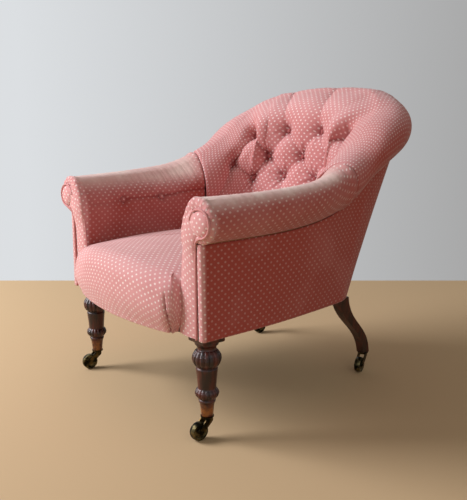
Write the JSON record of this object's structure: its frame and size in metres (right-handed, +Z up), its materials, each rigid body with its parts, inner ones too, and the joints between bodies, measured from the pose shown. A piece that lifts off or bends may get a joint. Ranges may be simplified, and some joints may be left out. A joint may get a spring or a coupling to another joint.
{
  "type": "tub chair",
  "caption": "Low upholstered tub chair with a buttoned wrap-round back, roll-over arms, a sprung seat, gadrooned front legs and brass castors.",
  "frame": {"origin": "floor level, at the middle of the chair's footprint", "axes": "+Z up, -Y is the way the chair faces, +X is the sitter's left"},
  "size_m": [0.691, 0.78, 0.7478],
  "materials": {
    "dotted_fabric": "soft twill, rose red with small white dots",
    "mahogany": "dark, waxed",
    "beech": "bare",
    "aged_brass": "dark, tarnished",
    "screw_steel": "darkened",
    "jute_webbing": "coarse",
    "spring_steel": "copper-washed, dull",
    "canvas": "coarse",
    "dust_cloth": "thin, black"
  },
  "bodies": {
    "chair": {"arm_buttons": "dotted_fabric", "arm_facing_left": "dotted_fabric", "arm_facing_right": "dotted_fabric", "arm_post_left": "beech", "arm_post_right": "beech", "arm_rail_left": "beech", "arm_rail_right": "beech", "back_buttons": "dotted_fabric", "back_hoop": "beech", "back_stays": "beech", "bottom_cloth": "dust_cloth", "castor_plate_front_left": "aged_brass", "castor_plate_front_right": "aged_brass", "castor_plate_rear_left": "aged_brass", "castor_plate_rear_right": "aged_brass", "castor_screws": "screw_steel", "corner_blocks": "beech", "facing_piping_left": "dotted_fabric", "facing_piping_right": "dotted_fabric", "front_leg_left": "mahogany", "front_leg_right": "mahogany", "front_rail": "beech", "inside_arm_left": "dotted_fabric", "inside_arm_right": "dotted_fabric", "inside_back": "dotted_fabric", "outside_arm_left": "dotted_fabric", "outside_arm_right": "dotted_fabric", "outside_back": "dotted_fabric", "rear_leg_left": "mahogany", "rear_leg_right": "mahogany", "rear_rail": "beech", "scroll_boss_left": "dotted_fabric", "scroll_boss_right": "dotted_fabric", "seat_cushion": "dotted_fabric", "seat_springs": "spring_steel", "side_rail_left": "beech", "side_rail_right": "beech", "spring_canvas": "canvas", "tack_rail_left": "beech", "tack_rail_right": "beech", "webbing_front_to_back": "jute_webbing", "webbing_side_to_side": "jute_webbing"},
    "swivel_front_left": {"castor_horn_front_left": "aged_brass", "castor_axle_front_left": "aged_brass"},
    "wheel_front_left": {"castor_wheel_front_left": "aged_brass"},
    "swivel_front_right": {"castor_horn_front_right": "aged_brass", "castor_axle_front_right": "aged_brass"},
    "wheel_front_right": {"castor_wheel_front_right": "aged_brass"},
    "swivel_rear_left": {"castor_horn_rear_left": "aged_brass", "castor_axle_rear_left": "aged_brass"},
    "wheel_rear_left": {"castor_wheel_rear_left": "aged_brass"},
    "swivel_rear_right": {"castor_horn_rear_right": "aged_brass", "castor_axle_rear_right": "aged_brass"},
    "wheel_rear_right": {"castor_wheel_rear_right": "aged_brass"}
  },
  "joints": [
    {"name": "swivel_front_left", "type": "hinge", "parent": "chair", "child": "swivel_front_left", "pos_m": [0.254, -0.291, 0.0485], "axis": [0, 0, 1], "continuous": true},
    {"name": "roll_front_left", "type": "hinge", "parent": "swivel_front_left", "child": "wheel_front_left", "pos_m": [0.254, -0.313, 0.02], "axis": [1, 0, 0], "continuous": true},
    {"name": "swivel_front_right", "type": "hinge", "parent": "chair", "child": "swivel_front_right", "pos_m": [-0.254, -0.291, 0.0485], "axis": [0, 0, 1], "continuous": true},
    {"name": "roll_front_right", "type": "hinge", "parent": "swivel_front_right", "child": "wheel_front_right", "pos_m": [-0.25895, -0.31244, 0.02], "axis": [0.9744, -0.225, 0], "continuous": true},
    {"name": "swivel_rear_left", "type": "hinge", "parent": "chair", "child": "swivel_rear_left", "pos_m": [0.201, 0.265, 0.0485], "axis": [0, 0, 1], "continuous": true},
    {"name": "roll_rear_left", "type": "hinge", "parent": "swivel_rear_left", "child": "wheel_rear_left", "pos_m": [0.20852, 0.24433, 0.02], "axis": [0.9397, 0.342, 0], "continuous": true},
    {"name": "swivel_rear_right", "type": "hinge", "parent": "chair", "child": "swivel_rear_right", "pos_m": [-0.201, 0.265, 0.0485], "axis": [0, 0, 1], "continuous": true},
    {"name": "roll_rear_right", "type": "hinge", "parent": "swivel_rear_right", "child": "wheel_rear_right", "pos_m": [-0.2033, 0.24312, 0.02], "axis": [0.9945, -0.1045, 0], "continuous": true}
  ]
}
